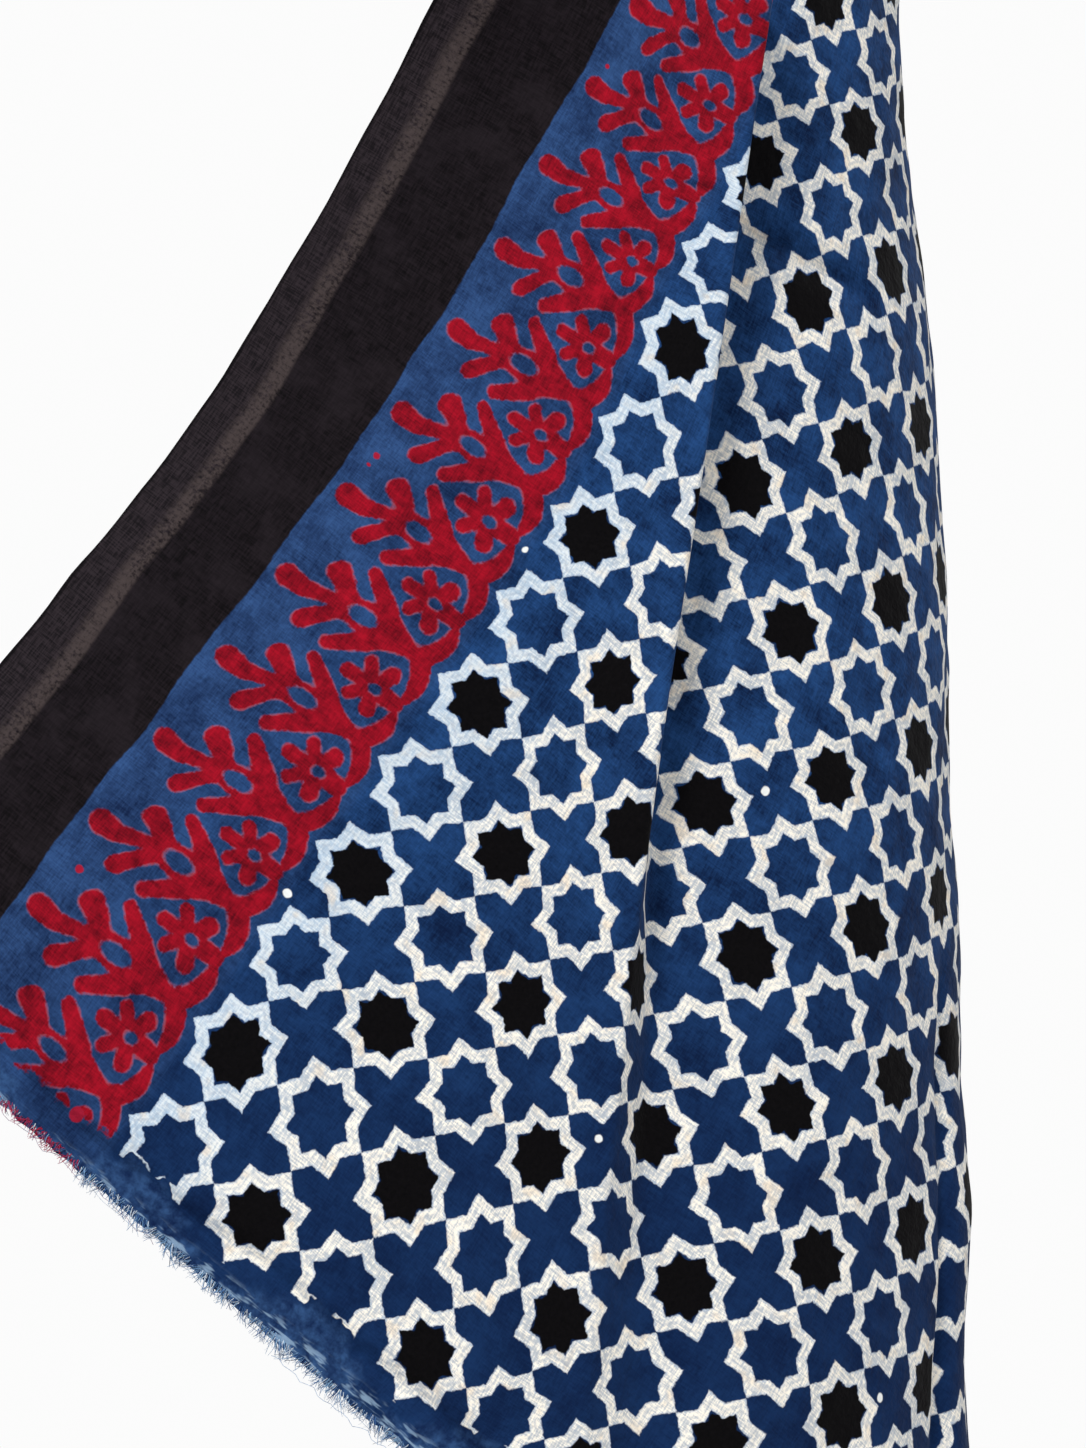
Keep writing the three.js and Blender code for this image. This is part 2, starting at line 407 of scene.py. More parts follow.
def map_places(across, down, reverse):
    """Where a place on the print lies on the bake map. The reverse is turned, in the far corner."""
    span = REVERSE_SPAN if reverse else PRINTED_SPAN
    u = (across - SELVEDGE) / span + MAP_MARGIN
    v = (RAW_EDGE + 0.1 - down) / span + MAP_MARGIN
    if reverse:
        u = 1 - u
        v = 1 - v
    return np.stack([u, v], axis=-1)


def store_pair(mesh, name, first, second):
    """Two numbers for every vertex, the same on both faces of the cloth."""
    values = np.zeros((2 * first.size, 3))
    values[:, 0] = np.tile(first.ravel(), 2)
    values[:, 1] = np.tile(second.ravel(), 2)
    attribute = mesh.attributes.new(name, "FLOAT_VECTOR", "POINT")
    attribute.data.foreach_set("vector", values.ravel())


def make_cloth():
    """A closed sheet: a printed face and a reverse, joined all round the edge."""
    corner_drop = float(place_in_folds(SELVEDGE, RAW_EDGE)[1])
    offsets = column_offsets(corner_drop)
    top = np.where(offsets < selvedge_offset(np.array([0.0]))[0],
                   bisect(selvedge_offset, offsets, 0.0, corner_drop), 0.0)
    top += SELVEDGE_WAVE_HEIGHT * waves(offsets, offsets, **SELVEDGE_WAVES) * ease(top / 20)
    bottom = bisect(raw_edge_offset, offsets, corner_drop, float(FOOT))
    bottom += RAW_WAVE_HEIGHT * waves(offsets, offsets, **RAW_WAVES) + sag(offsets)
    share = np.linspace(0, 1, ROWS)[None, :]
    drop = top[:, None] * (1 - share) + bottom[:, None] * share
    offset = np.repeat(offsets[:, None], ROWS, axis=1)
    middle, normal = surface(offset, drop)
    half = normal * THICKNESS / 2
    across, down = place_on_print(offset, drop)

    columns = len(offsets)
    per_side = columns * ROWS
    points = np.concatenate([(middle + half).reshape(-1, 3), (middle - half).reshape(-1, 3)]) * MM
    number = np.arange(per_side).reshape(columns, ROWS)
    a = number[:-1, :-1].ravel()
    b = number[:-1, 1:].ravel()
    c = number[1:, 1:].ravel()
    d = number[1:, :-1].ravel()
    printed = np.stack([a, b, c, d], axis=-1)
    reverse = np.stack([a, d, c, b], axis=-1) + per_side
    rims = []
    for edge, flip in ((number[:, 0], True), (number[:, -1], False),
                       (number[0, :], False), (number[-1, :], True)):
        near = edge[:-1]
        far = edge[1:]
        rim = np.stack([near, near + per_side, far + per_side, far], axis=-1)
        rims.append(rim[:, ::-1] if flip else rim)
    faces = np.concatenate([printed, reverse, *rims])

    mesh = bpy.data.meshes.new("printed_cloth")
    mesh.from_pydata(points.tolist(), [], faces.tolist())
    store_pair(mesh, "place", *drifted(across, down))
    store_pair(mesh, "edges", across - SELVEDGE, RAW_EDGE - down)

    # The bake map: rims run outwards from the printed face's edge
    corners = np.empty(len(mesh.loops), int)
    mesh.loops.foreach_get("vertex_index", corners)
    printed_map = map_places(across.ravel(), down.ravel(), False)
    reverse_map = map_places(across.ravel(), down.ravel(), True)
    both = np.concatenate([printed_map, reverse_map])
    places = both[corners]
    sides = 4 * (len(printed) + len(reverse))
    outward = np.repeat([(0, 1), (0, -1), (-1, 0), (1, 0)],
                        [4 * len(rim) for rim in rims], axis=0)
    rim_width = THICKNESS / REPEAT / PRINTED_SPAN
    rim_corners = corners[sides:]
    on_reverse = rim_corners >= per_side
    places[sides:] = printed_map[rim_corners % per_side]
    places[sides:] += outward * (on_reverse * rim_width)[:, None]
    uv = mesh.uv_layers.new(name="OFBake")
    uv.data.foreach_set("uv", places.ravel())

    material_index = np.zeros(len(faces), int)
    material_index[len(printed):len(printed) + len(reverse)] = 1
    mesh.polygons.foreach_set("material_index", material_index)
    mesh.polygons.foreach_set("use_smooth", np.ones(len(faces), bool))
    mesh.update()
    mesh.set_sharp_from_angle(angle=SHARP_FROM)
    return add_to_scene("printed_cloth", mesh)


def colour(red, green, blue):
    """A colour given in the usual 0 to 255 steps, as Blender's linear values."""
    steps = np.array([red, green, blue]) / 255
    linear = np.where(steps <= 0.04045, steps / 12.92, ((steps + 0.055) / 1.055) ** 2.4)
    return (*[float(x) for x in linear], 1.0)


class Node:
    """A value on its way through a material's nodes, with the usual arithmetic."""

    def __init__(self, graph, socket):
        self.graph = graph
        self.socket = socket

    def __add__(self, other):
        return self.graph.maths("ADD", self, other)

    def __sub__(self, other):
        return self.graph.maths("SUBTRACT", self, other)

    def __rsub__(self, other):
        return self.graph.maths("SUBTRACT", other, self)

    def __mul__(self, other):
        return self.graph.maths("MULTIPLY", self, other)

    def __truediv__(self, other):
        return self.graph.maths("DIVIDE", self, other)

    def abs(self):
        return self.graph.maths("ABSOLUTE", self)

    def min(self, other):
        return self.graph.maths("MINIMUM", self, other)

    def max(self, other):
        return self.graph.maths("MAXIMUM", self, other)

    def melt(self, other, width):
        """The smaller of two distances, with a soft join."""
        return self.graph.maths("SMOOTH_MIN", self, other, width)

    def rise(self, start, end):
        """0 at start and 1 at end, eased. It falls where end is below start."""
        node = self.graph.add("ShaderNodeMapRange")
        node.interpolation_type = "SMOOTHSTEP"
        self.graph.put(node.inputs["Value"], self)
        low, high = min(start, end), max(start, end)
        node.inputs["From Min"].default_value = low
        node.inputs["From Max"].default_value = high
        node.inputs["To Min"].default_value = 0 if end > start else 1
        node.inputs["To Max"].default_value = 1 if end > start else 0
        return Node(self.graph, node.outputs["Result"])


# A Mix node has sockets of the same names for each kind of value: these are the colours'
MIX_SHARE = 0
MIX_FIRST = 6
MIX_SECOND = 7
MIX_RESULT = 2


class Graph:
    """Adds nodes to one material or world."""

    def __init__(self, material):
        material.use_nodes = True
        self.tree = material.node_tree
        self.tree.nodes.clear()

    def add(self, kind):
        return self.tree.nodes.new(kind)

    def put(self, socket, value):
        if isinstance(value, Node):
            self.tree.links.new(value.socket, socket)
        else:
            socket.default_value = value

    def maths(self, operation, *values, clamp=False):
        node = self.add("ShaderNodeMath")
        node.operation = operation
        node.use_clamp = clamp
        for socket, value in zip(node.inputs, values):
            self.put(socket, value)
        return Node(self, node.outputs[0])

    def vector(self, operation, *values, scale=None):
        node = self.add("ShaderNodeVectorMath")
        node.operation = operation
        for socket, value in zip(node.inputs, values):
            self.put(socket, value)
        if scale is not None:
            self.put(node.inputs["Scale"], scale)
        gives_number = operation in ("DOT_PRODUCT", "DISTANCE", "LENGTH")
        return Node(self, node.outputs["Value" if gives_number else "Vector"])

    def point(self, x, y):
        node = self.add("ShaderNodeCombineXYZ")
        self.put(node.inputs["X"], x)
        self.put(node.inputs["Y"], y)
        return Node(self, node.outputs["Vector"])

    def split(self, vector):
        node = self.add("ShaderNodeSeparateXYZ")
        self.put(node.inputs[0], vector)
        return [Node(self, node.outputs[k]) for k in range(3)]

    def attribute(self, name, output="Vector"):
        node = self.add("ShaderNodeAttribute")
        node.attribute_name = name
        return Node(self, node.outputs[output])

    def noise(self, vector, scale, detail=2.0, roughness=0.5, output="Fac", dimensions="2D"):
        node = self.add("ShaderNodeTexNoise")
        node.noise_dimensions = dimensions
        self.put(node.inputs["Vector"], vector)
        node.inputs["Scale"].default_value = scale
        node.inputs["Detail"].default_value = detail
        node.inputs["Roughness"].default_value = roughness
        return Node(self, node.outputs[output])

    def mix(self, share, first, second):
        node = self.add("ShaderNodeMix")
        node.data_type = "RGBA"
        self.put(node.inputs[MIX_SHARE], share)
        self.put(node.inputs[MIX_FIRST], first)
        self.put(node.inputs[MIX_SECOND], second)
        return Node(self, node.outputs[MIX_RESULT])

    def over(self, share, below, dye):
        """One dye laid over what is there."""
        return self.mix(share, below, colour(*dye))

    def between(self, share, dyes):
        """A tone between the two of a pair of dyes."""
        return self.mix(share, colour(*dyes[0]), colour(*dyes[1]))

    def finger(self, point, start, start_radius, end, end_radius):
        """Distance to a stroke that swells or narrows from one end to the other."""
        run = (end[0] - start[0], end[1] - start[1], 0.0)
        length_squared = run[0] ** 2 + run[1] ** 2
        local = self.vector("SUBTRACT", point, (*start, 0.0))
        projection = self.vector("DOT_PRODUCT", local, run)
        share = self.maths("MULTIPLY", projection, 1 / length_squared, clamp=True)
        nearest = self.vector("SCALE", run, scale=share)
        distance = self.vector("DISTANCE", local, nearest)
        radius = self.maths("MULTIPLY_ADD", share, end_radius - start_radius, start_radius)
        return distance - radius

    def spot(self, point, centre, radius):
        return self.vector("DISTANCE", point, (*centre, 0.0)) - radius


# The print, in repeats from the first star's centre
STAR_SQUARE = 0.35  # half the side of the two squares that make a star
STAR_OUTLINE = 0.114
STAR_ROW_START = -0.5
PRINT_END = 7.42
LAST_STAR_TIP = 7.51
RED_END = 7.40
BAND_EDGE = -2.43
SPRIG_AXIS = 0.97  # the sprig's axis lies this far below a star
FLOWER_COLUMN = -0.93
BORDER_EDGE = -0.46

THREADS_PER_REPEAT = 92

# Dyes, in the usual 0 to 255 steps. A pair runs from the darker tone to the lighter one.
INDIGO = [(4, 17, 46), (34, 72, 124)]
LOWER_INDIGO = (9, 28, 62)
BORDER_BLUE = [(13, 28, 60), (49, 80, 128)]
BARE_BLUE = [(12, 30, 66), (52, 84, 128)]
RUBBED_BLUE = (150, 178, 204)
CREAM = [(176, 182, 188), (243, 236, 222)]
CREAM_BY_BORDER = (158, 190, 218)
CRACKLED_CREAM = (132, 148, 172)
CREAM_RIM = (126, 158, 198)
STAINED_CREAM = (222, 196, 160)
BLACK = [(2, 2, 3), (12, 10, 12)]
RED = [(72, 6, 18), (158, 14, 34)]
RED_RIM = (176, 104, 122)
BAND_BLACK = [(10, 8, 10), (27, 22, 26)]
FADED_BLACK = (33, 28, 32)
STRIP_BLACK = [(21, 18, 21), (42, 36, 40)]
PALE_STRIPE = (70, 61, 60)
OUTER_LINE = (7, 6, 8)
REVERSE_HAZE = [(52, 80, 128), (86, 112, 156)]
REVERSE_BAND = (44, 40, 48)

# Stray marks of the printing: where they lie, how large they are and what made them
RESIST = (226, 228, 226)
RED_SPLASH = (150, 24, 48)
MARKS = [
    dict(across=-0.46, down=0.50, radius=0.032, tint=RESIST),
    dict(across=-0.44, down=4.57, radius=0.042, tint=RESIST),
    dict(across=0.18, down=-4.10, radius=0.030, tint=RESIST),
    dict(across=3.43, down=0.53, radius=0.045, tint=RESIST),
    dict(across=3.40, down=4.49, radius=0.040, tint=RESIST),
    dict(across=7.32, down=4.58, radius=0.040, tint=RESIST),
    dict(across=-2.18, down=0.62, radius=0.036, tint=RED_SPLASH),
    dict(across=-2.20, down=0.74, radius=0.018, tint=RED_SPLASH),
    dict(across=-2.20, down=-4.18, radius=0.030, tint=RED_SPLASH),
    dict(across=-2.10, down=5.60, radius=0.040, tint=RED_SPLASH),
    dict(across=-0.90, down=7.30, radius=0.070, tint=RED_SPLASH),
]


# Strokes of the sprig on one side of its axis, from the tips inwards. Each runs from (out, aside)
# with a radius to (out, aside) with a radius. Out counts from the flower's column.
SPRIG = [
    dict(start=(-1.28, 0.0), start_radius=0.122, end=(-0.82, 0.0), end_radius=0.065),
    dict(start=(-0.92, 0.295), start_radius=0.105, end=(-0.70, 0.09), end_radius=0.075),
    dict(start=(-0.61, 0.40), start_radius=0.07, end=(-0.30, 0.17), end_radius=0.10),
    dict(start=(-0.72, 0.0), start_radius=0.12, end=(-0.25, 0.0), end_radius=0.19),
    dict(start=(-0.25, 0.0), start_radius=0.19, end=(0.20, 0.0), end_radius=0.04),
]
FLOWER = [
    dict(start=(0.03, 0.06), start_radius=0.07, end=(0.09, 0.20), end_radius=0.092),
    dict(start=(-0.03, 0.04), start_radius=0.07, end=(-0.16, 0.19), end_radius=0.068),
    dict(start=(-0.05, 0.0), start_radius=0.07, end=(-0.29, 0.0), end_radius=0.075),
    dict(start=(0.1, 0.0), start_radius=0.10, end=(0.28, 0.0), end_radius=0.09),
]
EYE = dict(centre=-0.49, half_length=0.155, half_width=0.085)
HOOP = dict(centre=0.01, half_length=0.285, half_width=0.45)
HEART = dict(centre=0.035, half_length=0.075, half_width=0.055)

# How softly the strokes join, how the sprig's tips sweep along the border, and the scalloped hoop
SPRIG_JOIN = 0.07
HOOP_JOIN = 0.04
PETAL_JOIN = 0.05
SWEEP_START = 0.72
SWEEP_REACH = 0.36
SWEEP_SLOPE = 0.36
SCALLOP_START = 0.33
SCALLOP_DEPTH = 0.10
HOOP_BACK = 0.05


def oval(g, out, aside, shape):
    """Distance to an oval hole on the axis of a sprig or a flower."""
    reach = g.vector("LENGTH", g.point((out - shape["centre"]) / shape["half_length"],
                                       aside / shape["half_width"]))
    return (reach - 1.0) * min(shape["half_length"], shape["half_width"])


def border_distance(g, across, down):
    """Distance to the red border's shapes, below 0 inside them."""
    out = across - FLOWER_COLUMN
    outer = (out * -1.0 - SWEEP_START).max(0.0).min(SWEEP_REACH)
    along = down - SPRIG_AXIS - outer * SWEEP_SLOPE
    aside = (along - g.maths("ROUND", along)).abs()
    opposite = 0.5 - aside
    at_sprig = g.point(out, aside)
    at_flower = g.point(out, opposite)
    shape = None
    for stroke in SPRIG:
        distance = g.finger(at_sprig, **stroke)
        shape = distance if shape is None else shape.melt(distance, SPRIG_JOIN)
    shape = shape.max(oval(g, out, aside, EYE) * -1.0)
    scallop = g.maths("SINE", aside * (2 * math.pi)).abs() * SCALLOP_DEPTH + SCALLOP_START
    hoop = oval(g, out, opposite, HOOP) * -1.0
    stem = hoop.max(out - scallop).max(out * -1.0 - HOOP_BACK)
    shape = shape.melt(stem, HOOP_JOIN)
    flower = None
    for stroke in FLOWER:
        distance = g.finger(at_flower, **stroke)
        flower = distance if flower is None else flower.melt(distance, PETAL_JOIN)
    flower = flower.max(oval(g, out, opposite, HEART) * -1.0)
    return shape.min(flower)


def streaked(g, place, across_pace, down_pace, detail=1.0, roughness=0.5):
    """Noise drawn out along one set of threads."""
    stretched = g.vector("MULTIPLY", place, (across_pace, down_pace, 1.0))
    return g.noise(stretched, 1.0, detail, roughness)


def print_layers(g):
    """The places, masks and textures that the parts of the print share."""
    place = g.attribute("place")
    drift = g.vector("SUBTRACT", g.noise(place, 1.3, 0.0, output="Color"), (0.5, 0.5, 0.5))
    shiver = g.vector("SUBTRACT", g.noise(place, 13.0, 1.0, output="Color"), (0.5, 0.5, 0.5))
    shaken = g.vector("ADD", place, g.vector("SCALE", drift, scale=0.06))
    shaken = g.vector("ADD", shaken, g.vector("SCALE", shiver, scale=0.02))
    across, down, _ = g.split(shaken)
    plain_across, plain_down, _ = g.split(place)

    column = g.maths("ROUND", across)
    row = g.maths("ROUND", down)
    x = (across - column).abs()
    y = (down - row).abs()
    star = (x.max(y) - STAR_SQUARE).min((x + y) * math.sqrt(0.5) - STAR_SQUARE)
    odd = g.maths("PINGPONG", column + row, 1.0)

    # The print stops unevenly above the raw edge, later between two columns of stars
    edge_noise = g.noise(place, 5.0, 2.0) - 0.5
    late = g.maths("COSINE", plain_across * math.pi)
    end = plain_down + edge_noise * 0.35 + late * 0.18 - PRINT_END
    in_field = (across - STAR_ROW_START).rise(-0.004, 0.004) * end.rise(0.012, -0.012)
    in_field = in_field * down.rise(LAST_STAR_TIP + 0.01, LAST_STAR_TIP)
    from_selvedge, from_raw, _ = g.split(g.attribute("edges"))

    # Fibres and dye: fine streaks along both sets of threads, and soft clouds
    warp = streaked(g, place, 62.0, 6.0)
    weft = streaked(g, place, 5.0, 70.0)
    return SimpleNamespace(
        place=place, shaken=shaken, across=across, down=down, plain_across=plain_across,
        plain_down=plain_down, star=star, odd=odd, end=end, in_field=in_field,
        from_selvedge=from_selvedge, from_raw=from_raw, warp=warp, weft=weft,
        fibre=(warp + weft) * 0.5, cloud=g.noise(place, 1.7, 3.0, 0.62),
        grainy=g.noise(place, 24.0, 2.0, 0.62), blotch=g.noise(place, 6.0, 3.0, 0.68))


def blue_ground(g, p):
    """Indigo under the stars, a greyer blue under the border and a blotched one past the print."""
    dye = (p.cloud * 1.1 + p.fibre * 0.8 + p.grainy * 0.3 + p.blotch * 0.4 - 0.82).rise(-0.12, 1.12)
    indigo = g.between(dye, INDIGO)
    lower = (p.plain_across * 0.58 + p.plain_down * 0.81).rise(1.5, 6.5)
    indigo = g.over(lower * 0.7, indigo, LOWER_INDIGO)
    in_border = (p.across - BORDER_EDGE).rise(0.08, -0.10)
    ground = g.mix(in_border, indigo, g.between(dye, BORDER_BLUE))
    inshore = p.across.rise(-2.2, -1.2)
    ground = g.mix(in_border * inshore * 0.45, ground, indigo)

    beyond = p.end.rise(-0.02, 0.16)
    bare = g.between(p.blotch.rise(0.25, 0.8), BARE_BLUE)
    ground = g.mix(beyond * 0.75, ground, bare)
    smear = streaked(g, p.place, 3.0, 14.0, 2.0, 0.7)
    rubbed = p.from_raw.rise(0.15, 0.03) * smear.rise(0.50, 0.66)
    return g.over(rubbed * 0.55, ground, RUBBED_BLUE)


def star_cream(g, p):
    """The cream of the star outlines: bluer at their rims, crackled and stained here and there."""
    tone = (p.fibre * 1.7 + p.grainy * 1.0 + p.cloud * 0.6 - 1.32).rise(0.0, 0.62)
    cream = g.between(tone, CREAM)
    cream = g.over(p.across.rise(1.2, -0.4) * 0.5, cream, CREAM_BY_BORDER)
    middle = (p.star + STAR_OUTLINE * 0.5).abs()
    crackle = middle.rise(0.022, 0.004) * (p.blotch + p.grainy - 0.9).rise(-0.05, 0.25)
    cream = g.over(crackle * 0.4, cream, CRACKLED_CREAM)
    cream = g.over(middle.rise(0.034, 0.058) * 0.35, cream, CREAM_RIM)
    stain = g.noise(p.place, 3.3, 2.0, 0.6).rise(0.58, 0.75)
    return g.over(stain * 0.35, cream, STAINED_CREAM)


def with_stars(g, p, printed):
    """Stars with a cream outline, every other one filled with black."""
    ragged = (p.grainy - 0.5) * 0.018 + (p.blotch - 0.5) * 0.022
    within_tips = (p.star + ragged).rise(0.010, -0.006)
    outside_fill = (p.star + STAR_OUTLINE - ragged).rise(-0.010, 0.006)
    outline = within_tips * outside_fill * p.in_field

    # The black block was set down a little off the outline
    fill_place = g.vector("ADD", p.place, (0.012, -0.018, 0.0))
    fill_wobble = (g.noise(fill_place, 9.0, 1.0) - 0.5) * 0.07
    fill = (p.star + STAR_OUTLINE + 0.010 + fill_wobble).rise(0.006, -0.008)
    fill = fill * p.odd.rise(0.6, 0.4) * p.in_field
    printed = g.mix(fill, printed, g.between(p.grainy, BLACK))
    return g.mix(outline, printed, star_cream(g, p))


def with_border(g, p, printed):
    """The red border, blotched, with a thin pale rim here and there."""
    shape = border_distance(g, p.across, p.down)
    end = (p.plain_down + p.blotch * 0.3).rise(RED_END + 0.06, RED_END)
    mask = (shape + (p.grainy - 0.5) * 0.03).rise(0.012, -0.012) * end
    tone = (p.blotch * 0.8 + p.fibre * 0.7 + p.cloud * 0.5 - 0.57).rise(-0.05, 0.85)
    rim = shape.abs().rise(0.018, 0.004) * (p.blotch - 0.1).rise(0.32, 0.5) * end
    printed = g.mix(mask, printed, g.between(tone, RED))
    return g.over(rim * 0.24, printed, RED_RIM)


def with_marks(g, p, printed):
    """Splashes of resist and of red."""
    for mark in MARKS:
        spot = g.spot(p.shaken, (mark["across"], mark["down"]), mark["radius"])
        printed = g.over(spot.rise(0.008, -0.008), printed, mark["tint"])
    return printed


def black_band(g, p):
    """The band's mask and its colour: black, a paler stripe and a duller strip by the selvedge."""
    wave = (g.noise(g.point(p.down * 0.8, 3.0), 1.0, 1.0) - 0.5) * 0.08
    band = (p.across + wave - BAND_EDGE).rise(0.010, -0.010)
    tint = g.between(p.fibre.rise(0.3, 0.7), BAND_BLACK)
    tint = g.over(p.cloud.rise(0.45, 0.7) * 0.5, tint, FADED_BLACK)
    slant = p.plain_down.rise(-4.0, 6.0) * 0.10
    from_stripe = p.from_selvedge - 0.40 - slant + wave
    strip = g.between(p.fibre.rise(0.35, 0.65), STRIP_BLACK)
    tint = g.mix(from_stripe.rise(0.05, -0.02), tint, strip)
    # A paler, streaked stripe along the band, a little inside the selvedge
    stripe = from_stripe.rise(0.10, 0.05) * from_stripe.rise(-0.17, -0.04)
    streaks = streaked(g, p.place, 5.0, 30.0, 2.0, 0.65)
    stripe = stripe * (streaks * 0.4 + p.cloud * 0.5 + p.grainy * 0.8).rise(0.55, 1.0)
    tint = g.over(stripe * 0.75, tint, PALE_STRIPE)
    return band, g.over(p.from_selvedge.rise(0.035, 0.015) * 0.8, tint, OUTER_LINE)


def weave_height(g, p):
    """Threads over and under, uneven in thickness, and crumples."""
    pace = math.pi * THREADS_PER_REPEAT
    warp_wave = g.maths("SINE", (p.plain_across + p.warp * 0.006) * pace)
    weft_wave = g.maths("SINE", (p.plain_down + p.weft * 0.006) * pace)
    over = (warp_wave * weft_wave * 2.5).rise(-1.0, 1.0)
    height = warp_wave.abs() * over + weft_wave.abs() * (1.0 - over)
    crumple = g.noise(p.place, 5.0, 3.0, 0.6)
    return height * 0.35 + p.fibre * 1.2 + crumple * 11.0


def cotton_shader(g, tint, roughness, height, strength, depth):
    """A matt shader with a bump, joined to the material's output."""
    bump = g.add("ShaderNodeBump")
    bump.inputs["Strength"].default_value = strength
    bump.inputs["Distance"].default_value = depth
    g.put(bump.inputs["Height"], height)
    shader = g.add("ShaderNodeBsdfPrincipled")
    g.put(shader.inputs["Base Color"], tint)
    g.put(shader.inputs["Roughness"], roughness)
    g.tree.links.new(bump.outputs["Normal"], shader.inputs["Normal"])
    output = g.add("ShaderNodeOutputMaterial")
    g.tree.links.new(shader.outputs["BSDF"], output.inputs["Surface"])
    return shader


def cloth_material(name, show_through):
    """Dyed and printed cotton. show_through is how much the print pales on this face."""
    material = bpy.data.materials.new(name)
    g = Graph(material)
    p = print_layers(g)
    printed = with_stars(g, p, blue_ground(g, p))
    printed = with_border(g, p, printed)
    printed = with_marks(g, p, printed)
    band, band_tint = black_band(g, p)
    printed = g.mix(band, printed, band_tint)
    if show_through:
        haze = g.over(band, g.between(p.fibre, REVERSE_HAZE), REVERSE_BAND)
        printed = g.mix(show_through, printed, haze)
    shader = cotton_shader(g, printed, 0.95 - p.fibre * 0.2, weave_height(g, p),
                           strength=0.5, depth=0.00025)
    shader.inputs["Specular IOR Level"].default_value = 0.05
    shader.inputs["Sheen Weight"].default_value = 0.02
    shader.inputs["Sheen Roughness"].default_value = 0.4
    return material


# Frayed threads along the raw edge. Their roots are placed in repeats, counted from the selvedge,
# from the cut edge at the back and inwards from the raw edge. Lengths and radii are in millimetres.
THREADS = 3000
THREAD_POINTS = 5
THREAD_SIDES = 3
FROM_SELVEDGE = 0.06
FROM_CUT_EDGE = 0.08
LEAST_INWARDS = 0.02
MOST_INWARDS = 0.09
ROOT_STAND = 0.35
NEARBY = 0.1
CLUMPS = dict(seed=31, count=9, shortest=0.12, longest=0.8)
LEANINGS = dict(seed=32, count=9, shortest=0.10, longest=0.9)
LIFTINGS = dict(seed=33, count=7, shortest=0.15, longest=0.9)
USUAL_LENGTH = 3.3
CLUMP_LENGTH = 1.1
STRAY_LENGTH = 0.6
SIDE_CURVE = 0.35
LIFT_CURVE = 0.2
LEAST_RADIUS = 0.13
MOST_RADIUS = 0.25
TAPER = 0.6
THREAD_TINTS = [
    dict(tint=(216, 224, 230), share=0.36),
    dict(tint=(124, 162, 196), share=0.34),
    dict(tint=(56, 92, 142), share=0.20),
    dict(tint=(16, 30, 58), share=0.10),
]
SHORTEST_THREAD = 1.6
LONGEST_THREAD = 8.0
BAND_TINT = (26, 22, 26)
BORDER_TINT = (172, 16, 42)
BORDER_SHARE = 0.8
WORN_THREAD = (64, 96, 146)

# Loose threads along the edge: from where to where across the print, and how far below it
LOOSE_THREADS = [
    dict(start=-0.4, end=4.6, below=0.02, tint=(206, 212, 220)),
    dict(start=2.0, end=7.0, below=0.08, tint=(176, 192, 212)),
    dict(start=-2.2, end=0.6, below=0.05, tint=(198, 176, 186)),
    dict(start=6.0, end=13.5, below=0.04, tint=(186, 200, 216)),
]
LOOSE_STEP = 0.07
LOOSE_RADIUS = 0.13


def tube(path, radii, sides):
    """Vertices and faces of a thin closed tube along a path, with its own radius at each point."""
    path = np.asarray(path)
    tangent = np.gradient(path, axis=0)
    tangent /= np.linalg.norm(tangent, axis=1, keepdims=True) + 1e-12
    helper = np.array([0.3, 0.9, 0.2])
    first = np.cross(tangent, helper)
    first /= np.linalg.norm(first, axis=1, keepdims=True)
    second = np.cross(tangent, first)
    turns = np.arange(sides) * 2 * math.pi / sides
    ring = (first[:, None, :] * np.cos(turns)[None, :, None]
            + second[:, None, :] * np.sin(turns)[None, :, None])
    points = (path[:, None, :] + ring * np.asarray(radii)[:, None, None]).reshape(-1, 3)
    faces = []
    for k in range(len(path) - 1):
        for s in range(sides):
            after = (s + 1) % sides
            near = k * sides
            far = near + sides
            faces.append((near + s, near + after, far + after, far + s))
    faces.append(tuple(range(sides))[::-1])
    faces.append(tuple((len(path) - 1) * sides + s for s in range(sides)))
    return points, faces


def edge_sag(across):
    """How much further down the raw edge lies than its even line, in repeats."""
    offset, _ = place_in_folds(across, RAW_EDGE)
    return sag(offset) / REPEAT


def edge_point(across, down):
    offset, drop = place_in_folds(across, down)
    return surface(offset, drop)


